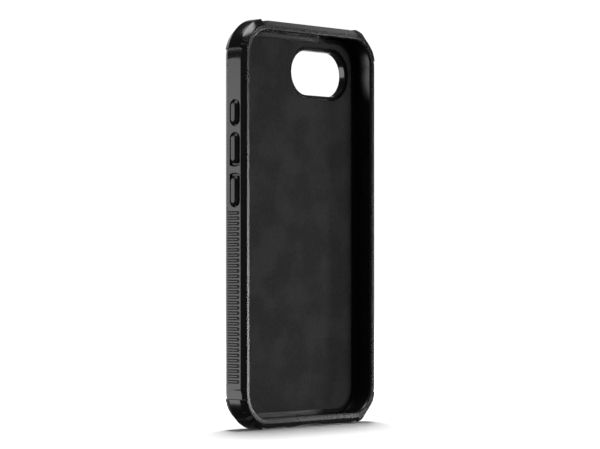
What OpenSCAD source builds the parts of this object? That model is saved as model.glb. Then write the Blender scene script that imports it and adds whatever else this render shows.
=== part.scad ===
// Rugged protective case for a flat-sided phone: soft frame with a raised front lip,
// hard back plate, four corner bumpers, button caps, camera ring and soft lining.
// The case stands upright: X is its width seen from the front, Y runs from the front
// to the back, Z is its length. The origin is under the middle of its box.

/* [Phone] */
// Width of the phone
phone_w = 71.5; // [60:0.5:90]
// Length of the phone
phone_h = 146.7; // [120:0.5:180]
// Thickness of the phone
phone_t = 7.8; // [6.4:0.1:11]
// Radius of the phone's corners
phone_r = 11.3; // [9:0.1:14]
// Clearance between the phone and the soft frame
phone_gap = 0.1; // [0.05:0.05:0.3]

/* [Frame] */
// Thickness of the frame's side walls
wall = 2.35; // [2.2:0.05:3]
// How far the front lip reaches over the glass
lip_reach = 1.6; // [1:0.1:2]
// Height of the front lip above the glass
lip_rise = 0.95; // [0.6:0.05:1.6]
// Width of the sloping inner face of the lip
lip_slope = 0.8; // [0.4:0.05:0.9]
// How far the lip's inner edge lies below its crest
lip_drop = 0.1; // [0.05:0.05:0.2]
// Width of the bevel between the lip and the side wall
front_bevel_w = 1.9; // [1.2:0.1:1.9]
// Depth of that bevel
front_bevel_d = 1.45; // [0.8:0.05:1.6]
// Width of the bevel between the side wall and the back
rear_bevel_w = 2.3; // [1.4:0.1:2.3]
// Depth of that bevel
rear_bevel_d = 3; // [2:0.1:3.2]
// How far the rear flange reaches in behind the phone
flange_reach = 2.2; // [1.8:0.1:3]

/* [Back] */
// Thickness of the soft lining
lining_t = 0.5; // [0.4:0.05:0.8]
// Thickness of the back plate
plate_t = 1.75; // [1.4:0.05:2.5]
// Thickness of the rim of the plate that sits inside the frame
plate_rim_t = 0.9; // [0.6:0.05:0.95]
// How far that rim stops short of the phone's outline
plate_rim_inset = 1; // [0.6:0.1:1.2]
// How far the lining stops short of the phone's outline
lining_inset = 2.7; // [2:0.1:5]

/* [Bumpers] */
// How far each bumper reaches in from the side wall
bumper_reach = 11.2; // [9:0.1:11.5]
// How far a bumper stands proud of the wall
bumper_proud = 0.55; // [0.2:0.05:0.9]
// Depth of the seat that a bumper fills in the frame
bumper_seat = 1; // [0.8:0.05:1.1]
// Gap at the seams beside a bumper
seam = 0.05; // [0.02:0.01:0.1]
// How far a bumper's edges lie from those of the frame beside them
bumper_edge = 0.2; // [0.1:0.05:0.25]
// Thickness of a bumper at its edge on the lip
lip_edge_t = 0.35; // [0.2:0.05:0.5]
// Thickness of a bumper at its edge on the back
rear_edge_t = 0.6; // [0.4:0.05:0.65]
// How much deeper the rear bevel of a bumper is than the frame's
bumper_bevel = 0.8; // [0.2:0.1:1.2]
// Depth, along the corner's wall, of the flat cut across its front edge
flat_d = 2.3; // [2.2:0.05:4]
// How far that flat cuts in towards the lip
flat_w = 1.8; // [1.2:0.1:2.2]
// Depth to which the wall necks in beside a bumper
neck_d = 0.5; // [0.3:0.05:0.8]
// Radius of the necked stretch
neck_r = 9; // [6:0.5:14]

/* [Buttons] */
// Height of the middle of the action button above the middle of the case
action_z = 41; // [38:0.5:44]
// Length of the action button's recess
action_l = 9.7; // [8:0.1:11]
// Height of the middle of the volume buttons
volume_z = 20; // [18:0.5:22]
// Length of the recess that the two volume buttons share
volume_l = 27.6; // [24:0.2:30]
// Length of the bridge between the volume buttons
bridge_l = 3.5; // [2.5:0.1:4.5]
// Height of the middle of the side button on the right
side_z = 20; // [16:0.5:24]
// Length of the side button's recess
side_l = 18; // [14:0.5:22]
// Width of the button recesses
recess_w = 4.9; // [4.6:0.1:5.2]
// Depth of the button recesses
recess_d = 0.85; // [0.6:0.05:0.9]
// Depth of the middle of the buttons behind the glass
button_y = 3.45; // [3.2:0.05:3.6]
// Gap between a button cap and the rim of its recess
cap_gap = 0.45; // [0.3:0.05:0.6]
// How far a button cap stands proud of the wall
cap_proud = 1.15; // [0.8:0.05:1.3]
// Width of the sloping edge round a cap
cap_slope = 1.05; // [0.6:0.05:1.1]
// Travel of a button
travel = 0.4; // [0.2:0.05:0.4]
// Thickness of the skin that holds a button in the wall
skin_t = 0.7; // [0.5:0.05:0.75]
// Radius of a button's stem
stem_r = 1.3; // [1:0.05:1.4]
// Clearance round a button's stem
stem_gap = 0.1; // [0.05:0.01:0.15]
// How far a stem's ends stop short of the ends of the cap's flat top
stem_inset = 0.2; // [0.1:0.05:0.4]
// Thickness of the flange that keeps a button in
keeper_t = 0.35; // [0.3:0.05:0.35]
// How far the flange reaches past the stem
keeper_reach = 0.6; // [0.4:0.05:0.7]
// Clearance above and below the skin that a button slides in
skin_gap = 0.05; // [0.02:0.01:0.08]

/* [Grip] */
// Height of the top of the ribbed grip above the middle of the case
grip_top = 4.7; // [2:0.1:5]
// Number of grooves on each side
grooves = 33; // [20:1:33]
// Spacing of the grooves
groove_pitch = 1.94; // [1.9:0.01:1.96]
// Width of each groove, with the bar that stands in it
groove_w = 1.28; // [1.2:0.01:1.35]
// Width of the bar that stands in each groove
bar_w = 0.5; // [0.4:0.01:0.6]
// Depth of the grooves
groove_d = 0.4; // [0.2:0.05:0.6]
// Distance of the grooves' front ends behind the glass
groove_y = 1.1; // [0.9:0.1:2.5]
// Distance of the bars' front ends behind those of the grooves
bar_back = 0.95; // [0.5:0.05:2]

/* [Openings] */
// Width of the camera opening
camera_w = 31; // [26:0.5:34]
// Height of the camera opening
camera_h = 17; // [14:0.5:19]
// Distance of the camera ring from the edge of the plate
camera_margin = 1; // [0.8:0.1:2]
// Thickness of the camera ring's tube
ring_tube = 1.6; // [1.2:0.1:2]
// How far the camera ring's flange reaches over the plate
ring_flange = 1.4; // [1:0.1:2]
// How far the camera ring stands proud of the back
ring_proud = 1.3; // [0.8:0.1:1.8]
// Depth of the rebate that the ring's flange sits in
ring_seat = 0.5; // [0.3:0.1:0.8]
// Width of the opening for the charging plug
port_w = 13; // [11:0.5:15]
// Height of the opening for the charging plug
port_h = 6.2; // [5.4:0.1:6.4]
// Width of each speaker opening
speaker_w = 13.5; // [10:0.5:14]
// Height of each speaker opening
speaker_h = 4.6; // [4.4:0.1:5]
// Distance of the speaker openings' middles from the middle of the case
speaker_x = 16.4; // [16:0.1:17.5]
// Depth of the shallow hollow in the bottom wall at the port
hollow_d = 0.6; // [0.3:0.05:0.8]
// Width of that hollow
hollow_w = 18; // [16:0.5:20]

/* [Hidden] */

$fn = 64;
far = 20; // reach of a cutting shape well past the part
past = 1; // reach of a cutting shape just past the surface that it cuts

// Half sizes of the phone's outline, and the depths of the layers behind its glass
half_w = phone_w / 2;
half_h = phone_h / 2;
glass_y = 0 - phone_gap / 2;
pocket_y = phone_t + phone_gap;
plate_y = pocket_y + lining_t;
back_y = plate_y + plate_t;
ring_y = back_y + ring_proud;

// Offsets of the frame's surfaces from the phone's outline
inner_o = phone_gap;
outer_o = inner_o + wall;
side_x = half_w + outer_o;
end_z = half_h + outer_o;

// Bumper: its outer offset, its end planes, and how far it reaches from the middle
seat_o = outer_o - bumper_seat;
bumper_o = outer_o + bumper_proud;
bumper_r = phone_r + bumper_o;
cut_x = side_x - bumper_reach;
cut_z = end_z - bumper_reach;
arc_x = half_w - phone_r;
arc_z = half_h - phone_r;
foot = arc_z + sqrt(pow(bumper_r, 2) - pow(cut_x - arc_x, 2));

// The middle of the case in the model's own frame
mid_y = 0 - (ring_y - lip_rise) / 2;
mid_z = max(foot, end_z);

// The middle of the camera opening
ring_reach = ring_tube + ring_flange;
camera_x = half_w - flange_reach - camera_margin - ring_reach - camera_w / 2;
camera_z = half_h - flange_reach - camera_margin - ring_reach - camera_h / 2;

// The floor of a button recess, and the length of the stem in a recess of a given length
floor_o = outer_o - recess_d;
function stem_l(length) = length - 2 * (cap_gap + cap_slope + stem_inset);

// The volume buttons lie above and below the bridge
volume_half = (volume_l - bridge_l) / 2;
volume_up_z = volume_z + (bridge_l + volume_half) / 2;
volume_down_z = volume_z - (bridge_l + volume_half) / 2;

// The section of the frame: offset from the phone's outline, depth behind the glass
frame_section = [
    [0 - lip_reach, glass_y],
    [lip_slope - lip_reach, lip_drop - lip_rise],
    [outer_o - front_bevel_w, 0 - lip_rise],
    [outer_o, front_bevel_d - lip_rise],
    [outer_o, back_y - rear_bevel_d],
    [outer_o - rear_bevel_w, back_y],
    [0 - flange_reach, back_y],
    [0 - flange_reach, plate_y + plate_rim_t],
    [0 - plate_rim_inset, plate_y + plate_rim_t],
    [0 - plate_rim_inset, plate_y],
    [inner_o, plate_y],
    [inner_o, glass_y]];

// The faces on which a bumper sits in the frame, from the lip to the back
lip_seat_o = outer_o - front_bevel_w - bumper_edge;
rear_seat_o = inner_o - bumper_edge;
seat_line = [
    [lip_seat_o, 0 - lip_rise],
    [lip_seat_o, lip_edge_t - lip_rise],
    [seat_o, front_bevel_d - lip_rise + bumper_edge],
    [seat_o, back_y - rear_bevel_d],
    [inner_o + bumper_edge, back_y - rear_edge_t - bumper_edge],
    [rear_seat_o, back_y - rear_edge_t],
    [rear_seat_o, back_y]];

bumper_section = concat(seat_line, [
    [outer_o - rear_bevel_w + bumper_proud, back_y],
    [bumper_o, back_y - rear_bevel_d - bumper_bevel],
    [bumper_o, front_bevel_d - lip_rise],
    [outer_o - front_bevel_w + bumper_proud, 0 - lip_rise]]);

seat_cut = concat(seat_line, [
    [rear_seat_o, back_y + far],
    [outer_o + far, back_y + far],
    [outer_o + far, 0 - far],
    [lip_seat_o, 0 - far]]);

// Puts a shape, made about the middle of the case with its glass at Y = 0, in its place
module in_place() {
    translate([0, mid_y, mid_z])
        children();
}

module both_sides() {
    children();
    mirror([1, 0, 0])
        children();
}

// A quarter turn of a section round the phone's corner, at the top right
module corner_sweep(section) {
    translate([arc_x, 0, arc_z])
        mirror([0, 0, 1])
            rotate([-90, 0, 0])
                rotate_extrude(angle = 90)
                    polygon([for (p = section) [phone_r + p[0], p[1]]]);
}

// A section swept all the way round the phone's outline
module ring_sweep(section) {
    both_sides()
        translate([half_w, 0, 0 - arc_z])
            linear_extrude(2 * arc_z)
                polygon(section);
    for (up = [0, 1])
        mirror([0, 0, up]) {
            translate([arc_x, 0, half_h])
                rotate([0, -90, 0])
                    linear_extrude(2 * arc_x)
                        polygon(section);
            both_sides()
                corner_sweep(section);
        }
}

// A flat pill outline, with its length along Y
module pill(length, width) {
    square([width, length - width], center = true);
    for (end = [-1, 1])
        translate([0, end * (length - width) / 2])
            circle(d = width);
}

// Turns local X to the depth, local Y to the height and local Z out of the right wall
module on_wall(x, z) {
    translate([x, button_y, z])
        rotate([90, 0, 90])
            children();
}

// A plate with the phone's outline, moved in by inset, from depth y to y + t
module outline_plate(inset, y, t) {
    r = phone_r - inset;
    translate([0, y + t, 0])
        rotate([90, 0, 0])
            linear_extrude(t) {
                square([2 * (half_w - inset), 2 * arc_z], center = true);
                square([2 * arc_x, 2 * (half_h - inset)], center = true);
                for (x = [-1, 1], z = [-1, 1])
                    translate([x * arc_x, z * arc_z])
                        circle(r);
            }
}

// A pill with its length along X, round the camera opening, larger by grow all round
module camera_pill(grow, y, t) {
    translate([camera_x, y + t, camera_z])
        rotate([90, 0, 0])
            linear_extrude(t)
                rotate([0, 0, 90])
                    pill(camera_w + 2 * grow, camera_h + 2 * grow);
}

// The block of space that one bumper fills, at the top right, larger by grow at its ends
module bumper_block(grow) {
    translate([cut_x - grow, 0 - far, cut_z - grow])
        cube([2 * far, back_y + 2 * far, 2 * far]);
}

// The bumper's seat in the frame and the necked stretch of wall beside each of its ends
module bumper_cut() {
    intersection() {
        corner_sweep(seat_cut);
        bumper_block(seam);
    }
    for (at = [[side_x - neck_d + neck_r, cut_z], [cut_x, end_z - neck_d + neck_r]])
        translate([at[0], 0 - far, at[1]])
            rotate([-90, 0, 0])
                cylinder(r = neck_r, h = back_y + 2 * far, $fn = 96);
}

// One corner bumper, at the top right, with a flat cut across its front edge
module bumper() {
    difference() {
        intersection() {
            corner_sweep(bumper_section);
            bumper_block(0);
        }
        translate([arc_x, 0, arc_z])
            rotate([0, -45, 0])
                translate([0, 0, 0 - far])
                    linear_extrude(2 * far)
                        polygon([
                            [bumper_r - flat_w, 0 - lip_rise],
                            [bumper_r, flat_d - lip_rise],
                            [bumper_r + far, flat_d - lip_rise],
                            [bumper_r + far, 0 - far],
                            [bumper_r - flat_w, 0 - far]]);
    }
}

// The slot for one button: through the skin, with the keeper's pocket behind it
module button_slot(z, length) {
    round_stem = 2 * stem_gap;
    round_keeper = 2 * (keeper_reach + stem_gap);
    on_wall(half_w, z) {
        linear_extrude(outer_o + past)
            pill(stem_l(length) + round_stem, 2 * stem_r + round_stem);
        translate([0, 0, 0 - past])
            linear_extrude(past + floor_o - skin_t)
                pill(stem_l(length) + round_keeper, 2 * stem_r + round_keeper);
    }
}

// The recess in the wall round one button or a row of them
module button_recess(z, length) {
    on_wall(side_x - recess_d, z)
        linear_extrude(far)
            pill(length, recess_w);
}

// A button cap on its stem, with the keeper flange behind the skin, on the right wall
module button(z, length) {
    cap_l = length - 2 * cap_gap;
    cap_r = recess_w / 2 - cap_gap;
    straight = cap_l - 2 * cap_r;
    lift = travel + skin_gap;
    edge_t = recess_d + cap_proud - cap_slope - lift;
    keeper_z = 0 - skin_t - skin_gap;
    on_wall(half_w + floor_o, z) {
        // stem, and the keeper at its inner end
        translate([0, 0, keeper_z])
            linear_extrude(lift - keeper_z)
                pill(stem_l(length), 2 * stem_r);
        translate([0, 0, keeper_z - keeper_t])
            linear_extrude(keeper_t)
                pill(stem_l(length) + 2 * keeper_reach, 2 * (stem_r + keeper_reach));
        // cap: a straight edge, then a sloping one up to a narrow flat top
        translate([0, 0, lift])
            linear_extrude(edge_t)
                pill(cap_l, 2 * cap_r);
        translate([0, straight / 2, lift + edge_t])
            rotate([90, 0, 0])
                linear_extrude(straight)
                    polygon([
                        [0 - cap_r, 0],
                        [cap_r, 0],
                        [cap_r - cap_slope, cap_slope],
                        [cap_slope - cap_r, cap_slope]]);
        for (end = [-1, 1])
            translate([0, end * straight / 2, lift + edge_t])
                cylinder(r1 = cap_r, r2 = cap_r - cap_slope, h = cap_slope);
    }
}

// The ribbed grip: grooves open to the back, each round a bar left standing in it
module grip_cut() {
    for (i = [0 : grooves - 1])
        translate([side_x - groove_d, groove_y, grip_top - groove_w / 2 - i * groove_pitch])
            rotate([90, 0, 90])
                linear_extrude(far)
                    difference() {
                        translate([groove_w / 2, 0]) {
                            circle(d = groove_w);
                            translate([0, 0 - groove_w / 2])
                                square([far, groove_w]);
                        }
                        translate([bar_back + bar_w / 2, 0]) {
                            circle(d = bar_w);
                            translate([0, 0 - bar_w / 2])
                                square([far, bar_w]);
                        }
                    }
}

// The openings in the bottom wall, and the shallow hollow round the middle one
module bottom_cut() {
    middle_y = pocket_y / 2;
    translate([0, middle_y, 0 - half_h - far])
        linear_extrude(far + past) {
            rotate([0, 0, 90])
                pill(port_w, port_h);
            for (side = [-1, 1])
                translate([side * speaker_x, 0])
                    rotate([0, 0, 90])
                        pill(speaker_w, speaker_h);
        }
    hollow_r = (pow(hollow_w / 2, 2) + pow(hollow_d, 2)) / (2 * hollow_d);
    translate([0, 0 - far, hollow_d - end_z - hollow_r])
        rotate([-90, 0, 0])
            cylinder(r = hollow_r, h = back_y + 2 * far, $fn = 180);
}

module frame() {
    color([0.17, 0.17, 0.165])
        in_place() {
            difference() {
                ring_sweep(frame_section);
                for (up = [0, 1])
                    mirror([0, 0, up])
                        both_sides()
                            bumper_cut();
                both_sides()
                    grip_cut();
                bottom_cut();
                mirror([1, 0, 0]) {
                    button_recess(action_z, action_l);
                    button_slot(action_z, action_l);
                    button_recess(volume_z, volume_l);
                    button_slot(volume_up_z, volume_half);
                    button_slot(volume_down_z, volume_half);
                }
                button_recess(side_z, side_l);
                button_slot(side_z, side_l);
            }
            mirror([1, 0, 0])
                volume_bridge();
        }
}

// The bridge that stands in the shared recess between the two volume buttons
module volume_bridge() {
    on_wall(side_x - recess_d - skin_t, volume_z)
        linear_extrude(recess_d + skin_t)
            square([recess_w - 2 * cap_gap, bridge_l], center = true);
}

module back_plate() {
    color([0.07, 0.07, 0.075])
        in_place()
            difference() {
                union() {
                    outline_plate(plate_rim_inset, plate_y, plate_rim_t);
                    outline_plate(flange_reach, plate_y, plate_t);
                }
                camera_pill(ring_tube, plate_y - past, plate_t + 2 * past);
                camera_pill(ring_reach, back_y - ring_seat, ring_seat + past);
            }
}

module inner_lining() {
    color([0.2, 0.2, 0.21])
        in_place()
            difference() {
                outline_plate(lining_inset, pocket_y, lining_t);
                camera_pill(ring_tube, pocket_y - past, lining_t + 2 * past);
            }
}

module camera_ring() {
    color([0.1, 0.1, 0.1])
        in_place()
            difference() {
                union() {
                    camera_pill(ring_tube, plate_y, plate_t + ring_proud);
                    camera_pill(ring_reach, back_y - ring_seat, ring_seat + ring_proud);
                }
                camera_pill(0, plate_y - past, plate_t + ring_proud + 2 * past);
            }
}

module bumper_at(left, down) {
    color([0.06, 0.06, 0.06])
        in_place()
            mirror([left, 0, 0])
                mirror([0, 0, down])
                    bumper();
}

module left_button(z, length) {
    color([0.13, 0.13, 0.13])
        in_place()
            mirror([1, 0, 0])
                button(z, length);
}

module side_button() {
    color([0.13, 0.13, 0.13])
        in_place()
            button(side_z, side_l);
}

frame();
back_plate();
inner_lining();
camera_ring();
bumper_at(1, 0);  // bumper_top_left
bumper_at(0, 0);  // bumper_top_right
bumper_at(1, 1);  // bumper_bottom_left
bumper_at(0, 1);  // bumper_bottom_right
left_button(action_z, action_l);  // action_button
left_button(volume_up_z, volume_half);  // volume_up_button
left_button(volume_down_z, volume_half);  // volume_down_button
side_button();
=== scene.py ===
import math

import bmesh
import bpy
import numpy as np
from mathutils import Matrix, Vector


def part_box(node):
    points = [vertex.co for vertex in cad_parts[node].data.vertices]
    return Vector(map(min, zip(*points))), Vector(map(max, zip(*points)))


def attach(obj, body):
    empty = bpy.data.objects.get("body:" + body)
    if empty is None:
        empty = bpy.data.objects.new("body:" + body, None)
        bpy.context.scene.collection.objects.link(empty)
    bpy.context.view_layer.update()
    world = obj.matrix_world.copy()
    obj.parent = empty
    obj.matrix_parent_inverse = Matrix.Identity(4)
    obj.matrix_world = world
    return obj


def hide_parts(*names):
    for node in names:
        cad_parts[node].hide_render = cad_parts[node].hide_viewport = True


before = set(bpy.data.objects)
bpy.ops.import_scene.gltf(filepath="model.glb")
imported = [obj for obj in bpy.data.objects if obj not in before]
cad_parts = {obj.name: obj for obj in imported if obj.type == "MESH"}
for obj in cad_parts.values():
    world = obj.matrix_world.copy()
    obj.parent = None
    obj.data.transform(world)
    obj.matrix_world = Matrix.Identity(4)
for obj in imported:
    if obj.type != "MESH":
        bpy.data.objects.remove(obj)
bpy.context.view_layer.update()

# A rugged phone case stands upright on a pale floor. Shapes are worked out in millimetres
# about the middle of the case, as x, depth and height: depth is measured back from the
# phone's glass, and an "offset" is how far a surface lies outside the phone's outline.
scene = bpy.context.scene
mm = 0.001

outline = {
    "wallOffset": 2.45,     # outer wall
    "pocketOffset": 0.1,    # inner wall, round the phone
    "cornerRadius": 11.3,   # of the phone's own corners
    "lipRise": 0.95,        # lip in front of the glass
    "cornerSteps": 36,
}

frameLow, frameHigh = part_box("frame")
glassY = frameLow.y / mm + outline["lipRise"]
midZ = (frameLow.z + frameHigh.z) / 2 / mm
wallX = frameHigh.x / mm
wallZ = (frameHigh.z - frameLow.z) / 2 / mm
halfW = wallX - outline["wallOffset"]
halfH = wallZ - outline["wallOffset"]
arcX = halfW - outline["cornerRadius"]
arcZ = halfH - outline["cornerRadius"]
backDepth = frameHigh.y / mm - glassY
far = 5.0                   # reach of a cutting shape past the surface that it cuts
intoPocket = 1.0            # how far the cutters through the walls run into the pocket
print("frame loaded, pocket", round(2 * halfW, 2), "by", round(2 * halfH, 2), "mm")


# camera, floor and light

view = {
    "place": (-674.5, -600.65, 59.0),   # millimetres
    "heading": 48.31,                    # degrees round from straight ahead
    "lens": 142.55,
    "sensor": 36.0,
    "shiftY": 0.0767,
    "nearest": 0.05,                     # metres
    "furthest": 20.0,
}


def lookFrom():
    data = bpy.data.cameras.new("camera")
    data.lens = view["lens"]
    data.sensor_width = view["sensor"]
    data.shift_y = view["shiftY"]
    data.clip_start = view["nearest"]
    data.clip_end = view["furthest"]
    camera = bpy.data.objects.new("camera", data)
    camera.location = Vector(view["place"]) * mm
    camera.rotation_euler = (math.radians(90), 0, -math.radians(view["heading"]))
    scene.collection.objects.link(camera)
    scene.camera = camera


def softLight(name, place, aim, size, power):
    data = bpy.data.lights.new(name, "AREA")
    data.shape = "RECTANGLE"
    data.size, data.size_y = size
    data.energy = power
    light = bpy.data.objects.new(name, data)
    light.location = place
    light.rotation_euler = (Vector(aim) - Vector(place)).to_track_quat("-Z", "Y").to_euler()
    scene.collection.objects.link(light)
    return light


studio = {
    # name: direction from the case, distance in metres, size, brightness
    "sideBox": ((-0.80, 0.60, -0.16), 1.2, (0.8, 0.9), 2.9),
    "facetBox": ((-0.113, -0.27, 0.947), 1.1, (0.44, 0.40), 8.4),
    "topBox": ((-0.155, 0.06, 0.99), 1.1, (0.46, 0.36), 5.2),
    "lipStrip": ((0.868, -0.466, -0.15), 0.8, (0.09, 0.40), 26.0),
    "rightBox": ((0.80, -0.20, 0.50), 1.2, (0.35, 0.6), 2.0),
    "backBox": ((0.62, 0.76, 0.12), 1.3, (0.9, 0.9), 0.8),
}
softOnly = {
    # lights that only matt surfaces take up: the cloth, and the paper under the case
    "clothFill": ((0.30, -0.95, 0.10), 1.4, (0.8, 0.5), 5.5),
    "paperStrip": ((0.16, 0.143, 0.976), 1.1, (0.26, 0.60), 34.0),
}
stripTurn = 48.3            # degrees: the paper's strip lies level, square to the view
surroundings = {"unseen": 0.06, "seen": 1.05}   # brightness round the case


def lightStudio():
    middle = Vector((0, 0, midZ * mm))
    for name, (direction, distance, size, brightness) in (studio | softOnly).items():
        place = middle + Vector(direction).normalized() * distance
        light = softLight(name, place, middle, size, brightness * math.pi * size[0] * size[1])
        light.visible_diffuse = name in softOnly
        light.visible_glossy = name in studio
        if name == "paperStrip":
            light.rotation_euler = (0, 0, -math.radians(stripTurn))


def splitByRay(tree, unseen, seen, out):
    # one shader where the camera looks, another for every other ray
    path = tree.nodes.new("ShaderNodeLightPath")
    mix = tree.nodes.new("ShaderNodeMixShader")
    tree.links.new(path.outputs["Is Camera Ray"], mix.inputs[0])
    tree.links.new(unseen.outputs[0], mix.inputs[1])
    tree.links.new(seen.outputs[0], mix.inputs[2])
    tree.links.new(mix.outputs[0], out.inputs[0])


def paintWorld():
    # white where the camera looks past the case, nearly dark for everything else
    world = bpy.data.worlds.new("studio")
    world.use_nodes = True
    tree = world.node_tree
    tree.nodes.clear()
    glows = {}
    for part, strength in surroundings.items():
        glows[part] = tree.nodes.new("ShaderNodeBackground")
        glows[part].inputs["Color"].default_value = (1, 1, 1, 1)
        glows[part].inputs["Strength"].default_value = strength
    splitByRay(tree, glows["unseen"], glows["seen"], tree.nodes.new("ShaderNodeOutputWorld"))
    scene.world = world


floorPaper = {
    "size": 14.0,           # metres
    "glowFrom": 0.05,       # the paper starts to glow this far from the case
    "glowTo": 0.24,         # and is fully bright here
    "glowLow": 0.01,
    "glowHigh": 1.0,
}


def layFloor():
    # pale paper: only the camera sees it, so that it isn't mirrored in the glossy parts
    bpy.ops.mesh.primitive_plane_add(size=floorPaper["size"], location=(0, 0, 0))
    floor = bpy.context.object
    floor.name = "floor"
    paper = bpy.data.materials.new("paper")
    paper.use_nodes = True
    tree = paper.node_tree
    tree.nodes.clear()
    sheet = tree.nodes.new("ShaderNodeBsdfDiffuse")
    sheet.inputs["Color"].default_value = (1.0, 1.0, 1.0, 1)
    spot = tree.nodes.new("ShaderNodeTexCoord")
    span = tree.nodes.new("ShaderNodeVectorMath")
    span.operation = "LENGTH"
    tree.links.new(spot.outputs["Object"], span.inputs[0])
    fade = tree.nodes.new("ShaderNodeMapRange")
    fade.interpolation_type = "SMOOTHSTEP"
    for label, key in (("From Min", "glowFrom"), ("From Max", "glowTo"),
                       ("To Min", "glowLow"), ("To Max", "glowHigh")):
        fade.inputs[label].default_value = floorPaper[key]
    tree.links.new(span.outputs["Value"], fade.inputs["Value"])
    glow = tree.nodes.new("ShaderNodeEmission")
    tree.links.new(fade.outputs["Result"], glow.inputs["Strength"])
    both = tree.nodes.new("ShaderNodeAddShader")
    tree.links.new(sheet.outputs[0], both.inputs[0])
    tree.links.new(glow.outputs[0], both.inputs[1])
    clear = tree.nodes.new("ShaderNodeBsdfTransparent")
    splitByRay(tree, clear, both, tree.nodes.new("ShaderNodeOutputMaterial"))
    floor.data.materials.append(paper)


scene.view_settings.view_transform = "Standard"
scene.view_settings.look = "None"

lookFrom()
paintWorld()
lightStudio()
layFloor()
print("camera and light set")


# making meshes

sharpFrom = 32              # degrees between two faces where the shading breaks
mostOfEdge = 0.48           # the share of an edge that one rounding may take
tiny = 1e-4


def placed(points):
    # case millimetres to metres in the model's frame
    return (np.asarray(points, float).reshape(-1, 3) + (0, glassY, midZ)) * mm


def rounded(corners, steps=5):
    # a closed outline of (a, b, radius) with each corner turned into an arc
    points = []
    count = len(corners)
    for i, (a, b, radius) in enumerate(corners):
        here = np.array((a, b), float)
        before = np.array(corners[i - 1][:2], float) - here
        after = np.array(corners[(i + 1) % count][:2], float) - here
        beforeLength, afterLength = np.linalg.norm(before), np.linalg.norm(after)
        before /= beforeLength
        after /= afterLength
        half = math.acos(float(np.clip(before @ after, -1, 1))) / 2
        reach = min(radius / math.tan(half), mostOfEdge * beforeLength, mostOfEdge * afterLength)
        if reach < tiny:
            points.append(here)
            continue
        size = reach * math.tan(half)
        middle = (before + after) / np.linalg.norm(before + after)
        centre = here + middle * size / math.sin(half)
        first = here + before * reach - centre
        last = here + after * reach - centre
        start = math.atan2(first[1], first[0])
        turn = math.atan2(last[1], last[0]) - start
        turn = (turn + math.pi) % (2 * math.pi) - math.pi
        for k in range(steps + 1):
            angle = start + turn * k / steps
            points.append(centre + size * np.array((math.cos(angle), math.sin(angle))))
    return np.array(points)


def pill(length, width, steps=16):
    # a closed pill outline, its length along the second axis
    radius = width / 2
    middle = (length - width) / 2
    points = []
    for end, start in ((1, 0), (-1, math.pi)):
        for k in range(steps + 1):
            angle = start + math.pi * k / steps
            points.append((radius * math.cos(angle), end * middle + radius * math.sin(angle)))
    return np.array(points)


def roundedRect(width, height, radius, steps):
    return rounded([(width / 2, -height / 2, radius), (width / 2, height / 2, radius),
                    (-width / 2, height / 2, radius), (-width / 2, -height / 2, radius)], steps)


def lofted(rings, loop=False):
    # one closed solid through rings of points, as (points, faces)
    rings = [np.asarray(r, float) for r in rings]
    count = len(rings[0])
    faces = []
    pairs = len(rings) if loop else len(rings) - 1
    for i in range(pairs):
        low, high = i * count, (i + 1) % len(rings) * count
        for k in range(count):
            after = (k + 1) % count
            faces.append((low + k, low + after, high + after, high + k))
    if not loop:
        faces.append(tuple(range(count - 1, -1, -1)))
        faces.append(tuple((len(rings) - 1) * count + k for k in range(count)))
    return np.vstack(rings), faces


def solidObject(name, solids, creaseAngle=sharpFrom):
    # an object made of one or more closed solids
    points, faces, start = [], [], 0
    for solidPoints, solidFaces in solids:
        points.append(placed(solidPoints))
        faces += [tuple(start + i for i in face) for face in solidFaces]
        start += len(solidPoints)
    mesh = bpy.data.meshes.new(name)
    mesh.from_pydata(np.vstack(points).tolist(), [], faces)
    work = bmesh.new()
    work.from_mesh(mesh)
    bmesh.ops.recalc_face_normals(work, faces=work.faces)
    work.to_mesh(mesh)
    work.free()
    piece = bpy.data.objects.new(name, mesh)
    scene.collection.objects.link(piece)
    smoothShade(piece, creaseAngle)
    return piece


def smoothShade(piece, creaseAngle):
    piece.data.shade_smooth()
    piece.data.set_sharp_from_angle(angle=math.radians(creaseAngle))


def applied(piece):
    # the piece's modifiers, made part of its mesh
    seen = bpy.context.evaluated_depsgraph_get()
    mesh = bpy.data.meshes.new_from_object(piece.evaluated_get(seen))
    piece.modifiers.clear()
    piece.data = mesh


def carve(piece, tools, operation="DIFFERENCE"):
    # cuts each tool out of the piece, or adds it, and throws the tools away
    for tool in tools:
        step = piece.modifiers.new(tool.name, "BOOLEAN")
        step.operation = operation
        step.solver = "MANIFOLD"
        step.object = tool
    applied(piece)
    for tool in tools:
        bpy.data.objects.remove(tool)
    smoothShade(piece, sharpFrom)


def evenNormals(piece):
    # keeps flat faces flat beside their rounded edges
    step = piece.modifiers.new("evenNormals", "WEIGHTED_NORMAL")
    step.keep_sharp = True
    step.weight = 80


def openingRings(shape, floor, top, foot, mouth, steps=4):
    # heights and outlines of a pocket's cutter: round at its floor, flared at its mouth.
    # shape(grow) gives the outline, larger by grow all round
    rings = []
    for k in range(steps + 1):
        angle = math.pi / 2 * k / steps
        rings.append((floor + foot * (1 - math.cos(angle)), shape(-foot * (1 - math.sin(angle)))))
    for k in range(steps + 1):
        angle = math.pi / 2 * k / steps
        rings.append((top - mouth * (1 - math.sin(angle)), shape(mouth * (1 - math.cos(angle)))))
    rings.append((top + far, shape(mouth)))
    return rings


def onWall(rings, side, height, depth):
    # rings of (distance out from the middle, outline in depth and height) on a side wall
    return [np.column_stack((np.full(len(shape), side * out), depth + shape[:, 0], height + shape[:, 1]))
            for out, shape in rings]


# soft frame

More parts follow.
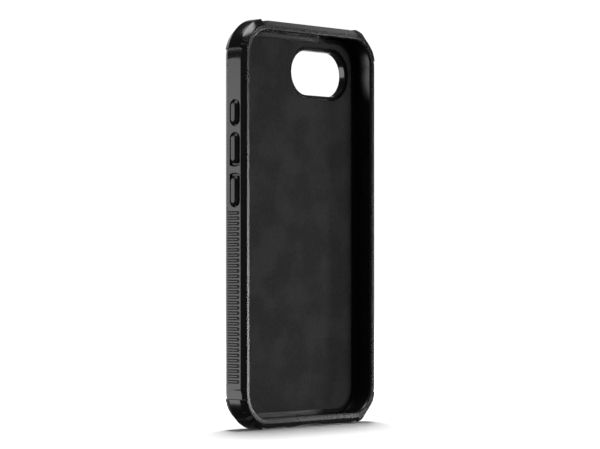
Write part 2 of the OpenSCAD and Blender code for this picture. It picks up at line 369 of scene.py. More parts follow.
softFrame = {
    "lipReach": 1.6,        # over the glass
    "lipSlope": 0.8,
    "lipDrop": 0.1,
    "frontBevelWidth": 1.9,
    "frontBevelDepth": 1.45,
    "rearBevelWidth": 2.3,
    "rearBevelDepth": 3.0,
    "flangeReach": 2.2,
    "plateRimThickness": 0.9,
    "plateRimInset": 1.0,
    "neckDepth": 0.5,       # where the wall draws in beside each bumper
    "neckLength": 4.2,      # to each side of the bumper's end
    "edge": 0.28,           # rounding of the moulded edges
}

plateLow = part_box("back_plate")[0]
plateDepth = plateLow.y / mm - glassY


def frameSection():
    # corners as (offset, depth, rounding)
    s = softFrame
    wall, inner = outline["wallOffset"], outline["pocketOffset"]
    rim = plateDepth + s["plateRimThickness"]
    return rounded([
        (-s["lipReach"], 0, 0.2),
        (s["lipSlope"] - s["lipReach"], s["lipDrop"] - outline["lipRise"], 0.35),
        (wall - s["frontBevelWidth"], -outline["lipRise"], 0.22),
        (wall, s["frontBevelDepth"] - outline["lipRise"], s["edge"]),
        (wall, backDepth - s["rearBevelDepth"], 0.5),
        (wall - s["rearBevelWidth"], backDepth, 0.6),
        (-s["flangeReach"], backDepth, 0.15),
        (-s["flangeReach"], rim, 0),
        (-s["plateRimInset"], rim, 0),
        (-s["plateRimInset"], plateDepth, 0),
        (inner, plateDepth, 0.1),
        (inner, 0, 0.1)])


def outlineStations():
    # points of the phone's outline, each with its outward normal
    stations = []
    for quarter, (right, up) in enumerate(((1, 1), (-1, 1), (-1, -1), (1, -1))):
        for k in range(outline["cornerSteps"] + 1):
            turn = math.pi / 2 * (quarter + k / outline["cornerSteps"])
            across, along = math.cos(turn), math.sin(turn)
            stations.append((right * arcX + outline["cornerRadius"] * across,
                             up * arcZ + outline["cornerRadius"] * along, across, along))
    return stations


def sweptRound(section):
    return lofted([np.column_stack((x + section[:, 0] * across, section[:, 1], z + section[:, 0] * along))
                   for x, z, across, along in outlineStations()], loop=True)


# corner bumpers: their seats in the frame, and the bumpers themselves

bumpers = {
    "reach": 11.2,          # in from the side wall
    "proud": 0.55,
    "seat": 1.0,            # depth of the seat in the wall
    "seam": 0.05,
    "edge": 0.2,            # between a bumper's edges and those of the frame
    "lipEdge": 0.35,        # thickness at the lip
    "rearEdge": 0.6,        # thickness at the back
    "bevelMore": 0.8,       # how much deeper the rear bevel is than the frame's
    "flatDepth": 2.3,       # flat across the front edge
    "flatWidth": 1.8,
    "flatSoftness": 0.07,
    "endRound": 0.16,
    "crease": 40,           # degrees, as sharpFrom
    "turnSteps": 72,
    "seatSteps": 40,
}

cutX = wallX - bumpers["reach"]
cutZ = wallZ - bumpers["reach"]
bumperOffset = outline["wallOffset"] + bumpers["proud"]


def seatLine():
    s, b = softFrame, bumpers
    wall, inner = outline["wallOffset"], outline["pocketOffset"]
    lip = wall - s["frontBevelWidth"] - b["edge"]
    rear = inner - b["edge"]
    return [
        (lip, -outline["lipRise"]),
        (lip, b["lipEdge"] - outline["lipRise"]),
        (wall - b["seat"], s["frontBevelDepth"] - outline["lipRise"] + b["edge"]),
        (wall - b["seat"], backDepth - s["rearBevelDepth"]),
        (inner + b["edge"], backDepth - b["rearEdge"] - b["edge"]),
        (rear, backDepth - b["rearEdge"]),
        (rear, backDepth)]


def bumperSection():
    # corners as (offset, depth, rounding)
    s, b = softFrame, bumpers
    wall = outline["wallOffset"]
    seat = seatLine()
    return rounded(
        [(*seat[0], 0.12)] + [(*p, 0.1) for p in seat[1:-1]] + [
            (*seat[-1], 0.12),
            (wall - s["rearBevelWidth"] + b["proud"], backDepth, 0.5),
            (bumperOffset, backDepth - s["rearBevelDepth"] - b["bevelMore"], 1.6),
            (bumperOffset, s["frontBevelDepth"] - outline["lipRise"], 0.4),
            (wall - s["frontBevelWidth"] + b["proud"], -outline["lipRise"], 0.25)], 7)


def seatCutter():
    seat = seatLine()
    outer = outline["wallOffset"] + far
    return np.array(seat + [(seat[-1][0], backDepth + far), (outer, backDepth + far),
                            (outer, -far), (seat[0][0], -far)], float)


def cornerBlock(section, right, up, grow, steps, endRound=0.0):
    # a section swept round a corner between two flat end planes, its ends rounded
    ahead = np.roll(section, -1, 0) - np.roll(section, 1, 0)
    outward = np.column_stack((ahead[:, 1], -ahead[:, 0]))
    outward /= np.linalg.norm(outward, axis=1)[:, None]
    if areaOf(section) < 0:
        outward = -outward
    rings = []
    for step in endSteps(steps, endRound):
        inset = endRound * (1 - math.sqrt(max(0.0, 1 - (1 - step["rise"]) ** 2)))
        shape = section - outward * inset
        r = outline["cornerRadius"] + shape[:, 0]
        start = np.arcsin(np.clip((cutZ - grow - arcZ) / r, -1, 1))
        finish = np.arccos(np.clip((cutX - grow - arcX) / r, -1, 1))
        if step["part"] == "start":
            angle = start + step["in"] / r
        elif step["part"] == "end":
            angle = finish - step["in"] / r
        else:
            low = start + endRound / r
            high = finish - endRound / r
            angle = low + (high - low) * step["share"]
        rings.append(np.column_stack((right * (arcX + r * np.cos(angle)), shape[:, 1],
                                      up * (arcZ + r * np.sin(angle)))))
    return rings


def areaOf(section):
    a, b = section[:, 0], section[:, 1]
    return 0.5 * float(np.sum(a * np.roll(b, -1) - b * np.roll(a, -1)))


def endSteps(steps, endRound, ringCount=5):
    # the places of a bumper's rings: rounded end, even steps, rounded end
    rises = [1 - math.cos(math.pi / 2 * k / ringCount) for k in range(ringCount)] if endRound else []
    starts = [{"part": "start", "in": rise * endRound, "rise": rise} for rise in rises]
    middles = [{"part": "middle", "rise": 1.0, "share": k / steps} for k in range(steps + 1)]
    ends = [{"part": "end", "in": rise * endRound, "rise": rise} for rise in reversed(rises)]
    return starts + middles + ends


def flattened(points, right, up):
    # presses what lies past the front flat of a bumper back onto it
    b = bumpers
    outerRadius = outline["cornerRadius"] + bumperOffset
    across = ((right * points[:, 0] - arcX) + (up * points[:, 2] - arcZ)) / math.sqrt(2)
    length = math.hypot(b["flatDepth"], b["flatWidth"])
    outX, outDepth = b["flatDepth"] / length, -b["flatWidth"] / length
    past = ((across - outerRadius + b["flatWidth"]) * outX
            + (points[:, 1] + outline["lipRise"]) * outDepth)
    soft = b["flatSoftness"]
    kept = -soft * np.logaddexp(0, -past / soft)
    move = kept - past
    moved = points.copy()
    moved[:, 0] += right * move * outX / math.sqrt(2)
    moved[:, 2] += up * move * outX / math.sqrt(2)
    moved[:, 1] += move * outDepth
    return moved


def makeBumper(name, node, right, up):
    rings = cornerBlock(bumperSection(), right, up, 0.0, bumpers["turnSteps"], bumpers["endRound"])
    rings = [flattened(ring, right, up) for ring in rings]
    piece = solidObject(name, [lofted(rings)], bumpers["crease"])
    finishPiece(piece, node, "shell", bumperRubber)


# buttons

buttons = {
    "capGap": 0.45,         # between a cap and the rim of its recess
    "recessDepth": 0.85,
    "recessWidth": 4.9,
    "capProud": 1.15,
    "capSlope": 1.05,
    "travel": 0.4,
    "skin": 0.7,
    "skinGap": 0.05,
    "stemRadius": 1.3,
    "stemGap": 0.1,
    "stemInset": 0.2,
    "keeper": 0.35,
    "keeperReach": 0.6,
    "edge": 0.22,
    "underEdge": 0.08,
    "recessFoot": 0.15,     # rounding at the recess's floor
    "recessMouth": 0.16,
    "crease": 30,           # degrees, as sharpFrom
    "bridgeLength": 3.5,
    "bridgeWaist": 0.55,    # how far the bridge between the volume buttons draws in
    "bridgeRoot": 0.25,     # how far it runs into the sides of the recess
    "bridgeFlare": (0.5, 0.1, 0.0, -1.2),   # its ends, outwards: under the floor, at it, at the wall, on top
    "bridgeFoot": 0.3,
    "bridgeEdge": 0.14,
}
recessFloor = wallX - buttons["recessDepth"]


def buttonPlace(node):
    # side, middle depth, middle height and recess length of the button that a node holds
    low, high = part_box(node)
    side = 1 if low.x > 0 else -1
    return (side, (low.y + high.y) / 2 / mm - glassY, (low.z + high.z) / 2 / mm - midZ,
            (high.z - low.z) / mm + 2 * buttons["capGap"])


def stemLength(length):
    b = buttons
    return length - 2 * (b["capGap"] + b["capSlope"] + b["stemInset"])


def makeButton(name, node):
    b = buttons
    side, depth, height, length = buttonPlace(node)
    capLength = length - 2 * b["capGap"]
    capWidth = b["recessWidth"] - 2 * b["capGap"]
    stem, stemWidth = stemLength(length), 2 * b["stemRadius"]
    keeper, keeperWidth = stem + 2 * b["keeperReach"], stemWidth + 2 * b["keeperReach"]
    low = recessFloor - b["skin"] - b["skinGap"]
    under = recessFloor + b["travel"] + b["skinGap"]
    top = wallX + b["capProud"]
    profile = [(low - b["keeper"], keeper, keeperWidth), (low, keeper, keeperWidth),
               (low, stem, stemWidth), (under, stem, stemWidth)]
    # the cap's profile, from its underside up, as (inset, distance out)
    shoulder = top - b["capSlope"]
    nearMiddle = capWidth / 2 - 0.1
    edges = rounded([(nearMiddle, under, 0), (0, under, b["underEdge"]), (0, shoulder, b["edge"]),
                     (b["capSlope"], top, b["edge"]), (nearMiddle, top, 0)])
    rings = [(out, pill(long, wide)) for out, long, wide in profile]
    for inset, out in edges[1:-1]:
        rings.append((out, pill(capLength - 2 * inset, capWidth - 2 * inset)))
    piece = solidObject(name, [lofted(onWall(rings, side, height, depth))], b["crease"])
    evenNormals(piece)
    finishPiece(piece, node, node, buttonRubber)


def buttonCutters():
    # recesses, and the stepped slots for the stems
    b = buttons
    recesses, slots = [], []
    places = {node: buttonPlace(node) for node in
              ("action_button", "volume_up_button", "volume_down_button", "side_button")}
    for node, (side, depth, height, length) in places.items():
        slotLength, slotWidth = stemLength(length) + 2 * b["stemGap"], 2 * (b["stemRadius"] + b["stemGap"])
        reach = 2 * b["keeperReach"]
        narrow, wide = pill(slotLength, slotWidth), pill(slotLength + reach, slotWidth + reach)
        step = recessFloor - b["skin"]
        rings = [(halfW - intoPocket, wide), (step, wide), (step, narrow), (recessFloor + 0.3, narrow)]
        slots.append(lofted(onWall(rings, side, height, depth)))
    side, depth, upHeight, upLength = places["volume_up_button"]
    downHeight = places["volume_down_button"][2]
    middle = (upHeight + downHeight) / 2
    shared = upHeight - downHeight + upLength
    for side, depth, height, length in (places["action_button"], places["side_button"],
                                        (side, depth, middle, shared)):
        rings = openingRings(lambda grow: pill(length + 2 * grow, b["recessWidth"] + 2 * grow, 24),
                             recessFloor, wallX, b["recessFoot"], b["recessMouth"])
        recesses.append(lofted(onWall(rings, side, height, depth)))
    return recesses, slots, (side, depth, middle)


def bridgeBlock(side, depth, height, steps=16):
    # the waisted bridge that stands between the two volume buttons
    b = buttons
    halfDepth = b["recessWidth"] / 2 + b["bridgeRoot"]
    halfLength = b["bridgeLength"] / 2
    heights = (recessFloor - b["skin"], recessFloor, wallX, wallX)
    roundings = (0, b["bridgeFoot"], b["bridgeEdge"], 0)
    profile = [(-flare, out, radius) for flare, out, radius in zip(b["bridgeFlare"], heights, roundings)]
    rings = []
    for inset, out in rounded(profile)[:-1]:
        shape = []
        for k in range(steps + 1):
            share = -1 + 2 * k / steps
            draw = b["bridgeWaist"] * (1 - share ** 2) + inset
            shape.append((share * halfDepth, halfLength - draw))
        shape += [(a, -c) for a, c in reversed(shape)]
        rings.append((out, np.array(shape)))
    return lofted(onWall(rings, side, height, depth))


# ribbed grip

grip = {
    "top": 4.7,             # above the middle of the case
    "count": 33,
    "pitch": 1.94,
    "width": 1.28,
    "bar": 0.5,
    "depth": 0.4,
    "front": 1.1,           # behind the glass
    "barBack": 0.95,
    "edge": 0.07,
    "taper": 0.15,          # how far a groove's walls close in towards its floor
}


def grooveShape(grow, steps=8):
    # one groove, open to the back, round a bar that stands in it
    g = grip
    end = backDepth + far
    outer = g["width"] / 2 + grow
    inner = g["bar"] / 2 - grow
    outerFront = g["front"] + g["width"] / 2
    innerFront = g["front"] + g["barBack"] + g["bar"] / 2
    shape = [(end, outer)]
    for k in range(steps + 1):
        angle = math.pi / 2 + math.pi * k / steps
        shape.append((outerFront + outer * math.cos(angle), outer * math.sin(angle)))
    shape += [(end, -outer), (end, -inner)]
    for k in range(steps + 1):
        angle = -math.pi / 2 - math.pi * k / steps
        shape.append((innerFront + inner * math.cos(angle), inner * math.sin(angle)))
    shape.append((end, inner))
    return np.array(shape)


def grooveCutters():
    g = grip
    mouth = openingRings(grooveShape, wallX - g["depth"], wallX, 0.0, g["edge"], 3)[4:]
    rings = [(wallX - g["depth"], grooveShape(-g["taper"]))] + mouth
    return [lofted(onWall(rings, side, g["top"] - g["width"] / 2 - i * g["pitch"], 0))
            for side in (-1, 1) for i in range(g["count"])]


# openings in the bottom wall

bottom = {
    "portWidth": 13.0,
    "portHeight": 6.2,
    "speakerWidth": 13.5,
    "speakerHeight": 4.6,
    "speakerX": 16.4,
    "hollowDepth": 0.6,
    "hollowWidth": 18.0,
    "mouth": 0.3,
    "forward": 0.25,        # of the middle between the glass and the plate
}


def bottomCutters():
    b = bottom
    depth = (outline["pocketOffset"] + plateDepth) / 2 - b["forward"]
    cutters = []
    for x, wide, tall in ((0, b["portWidth"], b["portHeight"]),
                          (-b["speakerX"], b["speakerWidth"], b["speakerHeight"]),
                          (b["speakerX"], b["speakerWidth"], b["speakerHeight"])):
        top = wallZ - (b["hollowDepth"] if x == 0 else 0)
        rings = []
        for out, shape in openingRings(lambda grow: pill(wide + 2 * grow, tall + 2 * grow, 20),
                                       halfH - intoPocket, top, 0, b["mouth"]):
            rings.append(np.column_stack((x + shape[:, 1], depth + shape[:, 0],
                                          np.full(len(shape), -out))))
        cutters.append(lofted(rings))
    return cutters


def neckCutter(right, up, onSide, steps=40):
    # takes the soft hollow beside a bumper's end out of the wall, from front to back
    length, deepest = softFrame["neckLength"], softFrame["neckDepth"]
    shape = []
    for k in range(steps + 1):
        share = -1 + 2 * k / steps
        shape.append((share * length, -deepest * (1 + math.cos(math.pi * share)) / 2 + 0.001))
    shape += [(length, far), (-length, far)]
    rings = []
    for depth in (-far, backDepth + far):
        ring = []
        for along, out in shape:
            x, z = (wallX + out, cutZ + along) if onSide else (cutX + along, wallZ + out)
            ring.append((right * x, depth, up * z))
        rings.append(np.array(ring))
    return lofted(rings)


def roller(x, z, radius, steps=600):
    # a long cylinder through the case from front to back
    turn = np.arange(steps) * 2 * math.pi / steps
    rings = [np.column_stack((x + radius * np.cos(turn), np.full(steps, depth), z + radius * np.sin(turn)))
             for depth in (-far, backDepth + far)]
    return lofted(rings)


def makeFrame():
    b = bottom
    piece = solidObject("softFrame", [sweptRound(frameSection())])
    corners = [(right, up) for right in (-1, 1) for up in (-1, 1)]
    seats = [lofted(cornerBlock(seatCutter(), right, up, bumpers["seam"], bumpers["seatSteps"]))
             for right, up in corners]
    sideNecks = [neckCutter(right, up, True) for right, up in corners]
    endNecks = [neckCutter(right, up, False) for right, up in corners]
    hollowRadius = ((b["hollowWidth"] / 2) ** 2 + b["hollowDepth"] ** 2) / (2 * b["hollowDepth"])
    hollow = roller(0, b["hollowDepth"] - wallZ - hollowRadius, hollowRadius)
    recesses, slots, bridge = buttonCutters()
    carve(piece, [solidObject("sideNecks", sideNecks), solidObject("endNecks", endNecks),
                  solidObject("hollow", [hollow]), solidObject("seats", seats),
                  solidObject("recesses", recesses)])
    carve(piece, [solidObject("bridge", [bridgeBlock(*bridge)])], "UNION")
    carve(piece, [solidObject("slots", slots), solidObject("grooves", grooveCutters()),
                  solidObject("bottomOpenings", bottomCutters())])
    evenNormals(piece)
    finishPiece(piece, "frame", "shell", frameRubber)


# back plate, lining and camera ring

back = {
    "rim": 0.9,             # thickness of the edge that the frame holds
    "rimInset": 1.0,
    "edge": 0.35,
    "ringTube": 1.6,
    "ringFlange": 1.4,
    "ringSeat": 0.5,
    "ringShoulder": 0.5,    # where the ring's flat top ends, outside its tube
    "ringBrim": 0.35,       # height of the ring's rim above the plate
    "ringCrease": 45,       # degrees, as sharpFrom
    "liningEdge": 0.15,
}
ringLow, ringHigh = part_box("camera_ring")
ringX = (ringLow.x + ringHigh.x) / 2 / mm
ringZ = (ringLow.z + ringHigh.z) / 2 / mm - midZ
ringReach = back["ringTube"] + back["ringFlange"]
cameraWide = (ringHigh.x - ringLow.x) / mm - 2 * ringReach
cameraTall = (ringHigh.z - ringLow.z) / mm - 2 * ringReach
ringDepth = ringHigh.y / mm - glassY


def cameraShape(grow, steps=28):
    shape = pill(cameraWide + 2 * grow, cameraTall + 2 * grow, steps)
    return np.column_stack((ringX + shape[:, 1], ringZ + shape[:, 0]))


def phoneShape(inset, steps=24):
    return roundedRect(2 * (halfW - inset), 2 * (halfH - inset), outline["cornerRadius"] - inset, steps)


def acrossDepth(rings):
    # rings of (depth, outline in x and height)
    return [np.column_stack((shape[:, 0], np.full(len(shape), depth), shape[:, 1]))
            for depth, shape in rings]


def makePlate():
    b = back
    flange = softFrame["flangeReach"]
    face = backDepth
    rings = [(plateDepth, phoneShape(b["rimInset"])), (plateDepth + b["rim"], phoneShape(b["rimInset"])),
             (plateDepth + b["rim"], phoneShape(flange))]
    steps = 5
    for k in range(steps + 1):
        angle = math.pi / 2 * k / steps
        rings.append((face - b["edge"] * (1 - math.sin(angle)),
                      phoneShape(flange + b["edge"] * (1 - math.cos(angle)))))
    piece = solidObject("backPlate", [lofted(acrossDepth(rings))])
    tube = lofted(acrossDepth([(plateDepth - far, cameraShape(b["ringTube"])),
                               (face - b["ringSeat"], cameraShape(b["ringTube"])),
                               (face - b["ringSeat"], cameraShape(ringReach)),
                               (face + far, cameraShape(ringReach))]))
    carve(piece, [solidObject("cameraCut", [tube])])
    evenNormals(piece)
    finishPiece(piece, "back_plate", "shell", hardBack)


def makeLining():
    low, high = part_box("inner_lining")
    front, rear = low.y / mm - glassY, high.y / mm - glassY
    inset = halfW - high.x / mm
    edge = back["liningEdge"]
    rings = [(rear, phoneShape(inset)), (front + edge, phoneShape(inset)),
             (front, phoneShape(inset + edge))]
    piece = solidObject("innerLining", [lofted(acrossDepth(rings))])
    cut = [(front - far, cameraShape(back["ringTube"])), (rear + far, cameraShape(back["ringTube"]))]
    carve(piece, [solidObject("liningCut", [lofted(acrossDepth(cut))])])
    evenNormals(piece)
    finishPiece(piece, "inner_lining", "shell", liningCloth)


def makeRing():
    b = back
    flangeDepth = backDepth - b["ringSeat"]
    section = rounded([
        (0, plateDepth, 0.2), (0, ringDepth, 0.45), (b["ringTube"] + b["ringShoulder"], ringDepth, 0.5),
        (ringReach, backDepth + b["ringBrim"], 0.3), (ringReach, flangeDepth, 0.05),
        (b["ringTube"], flangeDepth, 0), (b["ringTube"], plateDepth, 0.1)], 6)
    rings = acrossDepth([(depth, cameraShape(grow, 40)) for grow, depth in section])
    piece = solidObject("cameraRing", [lofted(rings, loop=True)], b["ringCrease"])
    finishPiece(piece, "camera_ring", "shell", ringPlastic)


def finishPiece(piece, node, body, material):
    piece.data.materials.clear()
    piece.data.materials.append(material)
    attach(piece, body)
    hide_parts(node)


# materials

def nodeGroup(name, inputs, outputs):
    group = bpy.data.node_groups.new(name, "ShaderNodeTree")
    for label, kind, value in inputs:
        socket = group.interface.new_socket(name=label, in_out="INPUT", socket_type=kind)
        if value is not None:
            socket.default_value = value
    for label, kind in outputs:
        group.interface.new_socket(name=label, in_out="OUTPUT", socket_type=kind)
    entry = group.nodes.new("NodeGroupInput")
    leave = group.nodes.new("NodeGroupOutput")
    return group, entry, leave


def mathNode(tree, operation, first, second, third=None):
    node = tree.nodes.new("ShaderNodeMath")
    node.operation = operation
    for socket, value in zip(node.inputs, (first, second, third)):
        if isinstance(value, (int, float)):
            socket.default_value = value
        elif value is not None:
            tree.links.new(value, socket)
    return node.outputs[0]


def mixColour(tree, share, first, second):
    node = tree.nodes.new("ShaderNodeMix")
    node.data_type = "RGBA"
    for socket, value in ((node.inputs[0], share), (node.inputs[6], first), (node.inputs[7], second)):
        if isinstance(value, (int, float)):
            socket.default_value = value
        elif isinstance(value, tuple):
            socket.default_value = (*value, 1)
        else:
            tree.links.new(value, socket)
    return node.outputs[2]


def noise(tree, place, scale, detail, roughness=0.5):
    node = tree.nodes.new("ShaderNodeTexNoise")
    node.inputs["Detail"].default_value = detail
    node.inputs["Roughness"].default_value = roughness
    tree.links.new(place, node.inputs["Vector"])
    if isinstance(scale, (int, float)):
        node.inputs["Scale"].default_value = scale
    else:
        tree.links.new(scale, node.inputs["Scale"])
    return node.outputs["Fac"]


def spread(tree, value, low, high, toLow=0.0, toHigh=1.0):
    node = tree.nodes.new("ShaderNodeMapRange")
    node.interpolation_type = "SMOOTHSTEP"
    tree.links.new(value, node.inputs["Value"])
    for label, amount in (("From Min", low), ("From Max", high), ("To Min", toLow), ("To Max", toHigh)):
        node.inputs[label].default_value = amount
    return node.outputs["Result"]


def makeMouldGrain():
    # the fine spark-eroded grain that a mould leaves on rubber and plastic
    group, entry, leave = nodeGroup("mouldGrain", [
        ("Position", "NodeSocketVector", None), ("Grain Size", "NodeSocketFloat", 2600.0),
        ("Pit Size", "NodeSocketFloat", 900.0), ("Pit Share", "NodeSocketFloat", 0.35)],
        [("Height", "NodeSocketFloat"), ("Pits", "NodeSocketFloat")])
    fine = noise(group, entry.outputs["Position"], entry.outputs["Grain Size"], 3.0, 0.6)
    cells = group.nodes.new("ShaderNodeTexVoronoi")
    cells.feature = "SMOOTH_F1"
    group.links.new(entry.outputs["Position"], cells.inputs["Vector"])
    group.links.new(entry.outputs["Pit Size"], cells.inputs["Scale"])
    pits = spread(group, cells.outputs["Distance"], 0.15, 0.6)
    share = mathNode(group, "MULTIPLY", pits, entry.outputs["Pit Share"])
    height = mathNode(group, "ADD", fine, share)
    group.links.new(height, leave.inputs["Height"])
    group.links.new(pits, leave.inputs["Pits"])
    return group


def makeToneDrift():
    # slow changes of tone and polish over a moulding, with faint flow marks along its length
    group, entry, leave = nodeGroup("toneDrift", [
        ("Position", "NodeSocketVector", None), ("Patch Size", "NodeSocketFloat", 22.0),
        ("Flow Size", "NodeSocketFloat", 160.0)],
        [("Tone", "NodeSocketFloat"), ("Polish", "NodeSocketFloat")])
    broad = noise(group, entry.outputs["Position"], entry.outputs["Patch Size"], 2.0)
    stretch = group.nodes.new("ShaderNodeMapping")
    stretch.inputs["Scale"].default_value = (1.0, 1.0, 0.18)
    group.links.new(entry.outputs["Position"], stretch.inputs["Vector"])
    flow = noise(group, stretch.outputs["Vector"], entry.outputs["Flow Size"], 3.0, 0.55)
    tone = mathNode(group, "MULTIPLY_ADD", flow, 0.45, mathNode(group, "MULTIPLY", broad, 0.55))
    group.links.new(spread(group, tone, 0.3, 0.7), leave.inputs["Tone"])
    group.links.new(spread(group, broad, 0.35, 0.65), leave.inputs["Polish"])
    return group


def makeEdgeRubAndHighlight():
    # where hands and pockets polish the raised edges, broken up by a noise; the same mask also gives those
    # edges a paler colour, a painted highlight along them
    group, entry, leave = nodeGroup("edgeRubAndHighlight", [
        ("Position", "NodeSocketVector", None), ("Sharpness", "NodeSocketFloat", 0.52),
        ("Break Size", "NodeSocketFloat", 420.0)],
        [("Mask", "NodeSocketFloat"), ("Hollow", "NodeSocketFloat")])
    shape = group.nodes.new("ShaderNodeNewGeometry")
    sunk = spread(group, shape.outputs["Pointiness"], 0.44, 0.49, 1.0, 0.0)
    group.links.new(sunk, leave.inputs["Hollow"])
    raised = mathNode(group, "SUBTRACT", shape.outputs["Pointiness"], entry.outputs["Sharpness"])
    edge = mathNode(group, "MULTIPLY", raised, 14.0)
    patches = noise(group, entry.outputs["Position"], entry.outputs["Break Size"], 4.0)
    broken = spread(group, patches, 0.3, 0.75, 0.25)
    mask = group.nodes.new("ShaderNodeClamp")
    group.links.new(mathNode(group, "MULTIPLY", edge, broken), mask.inputs["Value"])
    group.links.new(mask.outputs["Result"], leave.inputs["Mask"])
    return group


def makeDust():
    # sparse pale specks of lint and dust
    group, entry, leave = nodeGroup("dust", [
        ("Position", "NodeSocketVector", None), ("Speck Size", "NodeSocketFloat", 1500.0),
        ("Amount", "NodeSocketFloat", 0.2)],
        [("Mask", "NodeSocketFloat")])
    specks = group.nodes.new("ShaderNodeTexVoronoi")
    group.links.new(entry.outputs["Position"], specks.inputs["Vector"])
    group.links.new(entry.outputs["Speck Size"], specks.inputs["Scale"])
    dots = spread(group, specks.outputs["Distance"], 0.05, 0.16, 1.0, 0.0)
    here = spread(group, noise(group, entry.outputs["Position"], 130.0, 3.0), 0.52, 0.7)
    mask = mathNode(group, "MULTIPLY", mathNode(group, "MULTIPLY", dots, here), entry.outputs["Amount"])
    group.links.new(mask, leave.inputs["Mask"])
    return group


mouldGrain, toneDrift, edgeRubAndHighlight, dust = makeMouldGrain(), makeToneDrift(), makeEdgeRubAndHighlight(), makeDust()


def placeGroup(tree, group, position, **values):
    node = tree.nodes.new("ShaderNodeGroup")
    node.node_tree = group
    tree.links.new(position, node.inputs["Position"])
    for label, value in values.items():
        node.inputs[label.replace("_", " ")].default_value = value
    return node


def emptyMaterial(name):
    # a new material, with its tree, its shader and its place in the object
    material = bpy.data.materials.new(name)
    material.use_nodes = True
    tree = material.node_tree
    place = tree.nodes.new("ShaderNodeTexCoord").outputs["Object"]
    return material, tree, tree.nodes["Principled BSDF"], place


def addBump(tree, shader, height, strength, distance):
    bump = tree.nodes.new("ShaderNodeBump")
    bump.inputs["Strength"].default_value = strength
    bump.inputs["Distance"].default_value = distance
    tree.links.new(height, bump.inputs["Height"])
    tree.links.new(bump.outputs["Normal"], shader.inputs["Normal"])


def mouldedMaterial(name, look):
    # rubber or plastic: grain, drift of tone, rubbed edges painted paler as a highlight, and a little dust
    material, tree, shader, place = emptyMaterial(name)
    grain = placeGroup(tree, mouldGrain, place, Grain_Size=look["grain"], Pit_Size=look["pits"])
    drift = placeGroup(tree, toneDrift, place, Patch_Size=look["patches"])
    rubAndHighlight = placeGroup(tree, edgeRubAndHighlight, place)
    specks = placeGroup(tree, dust, place, Amount=look["dust"])
    base = mixColour(tree, drift.outputs["Tone"], look["dark"], look["light"])
    # raised edges are mixed towards a paler colour: partly rub wear, partly a painted highlight along the
    # edges
    rubAndHighlightShare = mathNode(tree, "MULTIPLY", rubAndHighlight.outputs["Mask"], look["rubAndHighlight"])
    wornAndHighlighted = mixColour(tree, rubAndHighlightShare, base, look["rubAndHighlightColour"])
    dusty = mixColour(tree, specks.outputs["Mask"], wornAndHighlighted, look["dustColour"])
    tree.links.new(dusty, shader.inputs["Base Color"])
    low, high = look["roughness"]
    rough = mathNode(tree, "MULTIPLY_ADD", drift.outputs["Polish"], high - low, low)
    rough = mathNode(tree, "MULTIPLY_ADD", grain.outputs["Pits"], look["pitRoughness"], rough)
    rough = mathNode(tree, "MULTIPLY_ADD", rubAndHighlight.outputs["Mask"], -look["rubPolish"], rough)
    rough = mathNode(tree, "MULTIPLY_ADD", rubAndHighlight.outputs["Hollow"], look["hollowRough"], rough)
    tree.links.new(rough, shader.inputs["Roughness"])
    addBump(tree, shader, grain.outputs["Height"], look["bump"], look["grainHeight"])
    shader.inputs["IOR"].default_value = look["ior"]
    shader.inputs["Specular IOR Level"].default_value = look["specular"]
    shader.inputs["Coat Weight"].default_value = look["coat"]
    shader.inputs["Coat Roughness"].default_value = look["coatRoughness"]
    return material


rubberLook = {
    "dark": (0.0095, 0.0095, 0.0090), "light": (0.0150, 0.0150, 0.0140),
    "grain": 2600.0, "pits": 900.0, "patches": 22.0,
    "roughness": (0.255, 0.28), "pitRoughness": 0.008, "bump": 0.03,
    "rubAndHighlight": 0.5, "rubAndHighlightColour": (0.035, 0.035, 0.033), "rubPolish": 0.10,
    "grainHeight": 0.00004, "hollowRough": 0.35, "dustColour": (0.30, 0.29, 0.27),
    "dust": 0.05, "ior": 1.52, "specular": 0.5, "coat": 0.0, "coatRoughness": 0.2,
}
frameRubber = mouldedMaterial("frameRubber", rubberLook)
# the bumpers carry the strongest painted highlight: a pale colour along their raised edges and seams
bumperRubber = mouldedMaterial("bumperRubber", {
    **rubberLook, "dark": (0.0045, 0.0045, 0.0045), "light": (0.0075, 0.0075, 0.0073),
    "roughness": (0.20, 0.225), "bump": 0.05, "grain": 3200.0, "rubAndHighlight": 0.9,
    "rubAndHighlightColour": (0.10, 0.10, 0.095)})
buttonRubber = mouldedMaterial("buttonRubber", {
    **rubberLook, "dark": (0.0080, 0.0080, 0.0078), "light": (0.0120, 0.0120, 0.0115),
    "roughness": (0.29, 0.32), "bump": 0.08, "rubAndHighlight": 0.8})
hardBack = mouldedMaterial("hardBack", {
    **rubberLook, "dark": (0.0100, 0.0100, 0.0105), "light": (0.0140, 0.0140, 0.0146),
    "grain": 1500.0, "pits": 520.0, "roughness": (0.34, 0.42), "bump": 0.55, "pitRoughness": 0.08,
    "dust": 0.07})
ringPlastic = mouldedMaterial("ringPlastic", {
    **rubberLook, "dark": (0.0060, 0.0060, 0.0062), "light": (0.0080, 0.0080, 0.0082),
    "grain": 4200.0, "roughness": (0.16, 0.22), "bump": 0.06, "pitRoughness": 0.02,
    "dust": 0.03, "coat": 0.35, "coatRoughness": 0.08})


liningLook = {
    "dark": (0.030, 0.030, 0.032), "light": (0.060, 0.060, 0.064),
    "fibre": 1900.0, "fibreLean": 32, "fibreStretch": 0.35, "brushed": 70.0,
    "roughness": 0.92, "bump": 0.7, "napHeight": 0.00012,
    "lint": 0.25, "lintSize": 1100.0, "lintColour": (0.22, 0.22, 0.21),
    "sheen": 0.35, "sheenRoughness": 0.45, "sheenTint": (0.75, 0.75, 0.80), "specular": 0.2,
}


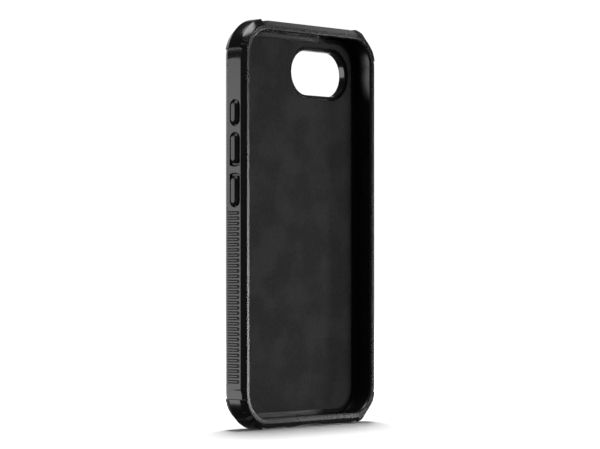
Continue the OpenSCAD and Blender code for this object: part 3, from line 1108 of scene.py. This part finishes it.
def liningMaterial():
    # short-napped microfibre: a fine felted fibre, brushed patches and a soft sheen
    look = liningLook
    material, tree, shader, place = emptyMaterial("liningCloth")
    lean = tree.nodes.new("ShaderNodeMapping")
    lean.inputs["Rotation"].default_value = (0, math.radians(look["fibreLean"]), 0)
    lean.inputs["Scale"].default_value = (1.0, 1.0, look["fibreStretch"])
    tree.links.new(place, lean.inputs["Vector"])
    fibre = noise(tree, lean.outputs["Vector"], look["fibre"], 4.0, 0.7)
    tuft = noise(tree, place, look["fibre"] * 0.4, 2.0)
    brushed = spread(tree, noise(tree, place, look["brushed"], 3.0), 0.38, 0.62)
    nap = mathNode(tree, "MULTIPLY_ADD", fibre, 0.6, mathNode(tree, "MULTIPLY", tuft, 0.4))
    strands = mathNode(tree, "MULTIPLY", spread(tree, nap, 0.3, 0.7), 0.6)
    tone = mathNode(tree, "MULTIPLY_ADD", brushed, 0.4, strands)
    specks = placeGroup(tree, dust, place, Amount=look["lint"], Speck_Size=look["lintSize"])
    cloth = mixColour(tree, tone, look["dark"], look["light"])
    linty = mixColour(tree, specks.outputs["Mask"], cloth, look["lintColour"])
    tree.links.new(linty, shader.inputs["Base Color"])
    rough = mathNode(tree, "MULTIPLY_ADD", brushed, -0.08, look["roughness"])
    tree.links.new(rough, shader.inputs["Roughness"])
    addBump(tree, shader, nap, look["bump"], look["napHeight"])
    shader.inputs["Sheen Weight"].default_value = look["sheen"]
    shader.inputs["Sheen Roughness"].default_value = look["sheenRoughness"]
    shader.inputs["Sheen Tint"].default_value = (*look["sheenTint"], 1)
    shader.inputs["Specular IOR Level"].default_value = look["specular"]
    return material


liningCloth = liningMaterial()
print("materials made")


# build

makeFrame()
print("soft frame made")
for name, node, right, up in (("bumperTopLeft", "bumper_top_left", -1, 1),
                              ("bumperTopRight", "bumper_top_right", 1, 1),
                              ("bumperBottomLeft", "bumper_bottom_left", -1, -1),
                              ("bumperBottomRight", "bumper_bottom_right", 1, -1)):
    makeBumper(name, node, right, up)
print("corner bumpers made")
for name, node in (("actionButton", "action_button"), ("volumeUpButton", "volume_up_button"),
                   ("volumeDownButton", "volume_down_button"), ("sideButton", "side_button")):
    makeButton(name, node)
print("buttons made")
makePlate()
makeLining()
makeRing()
print("back, lining and camera ring made")
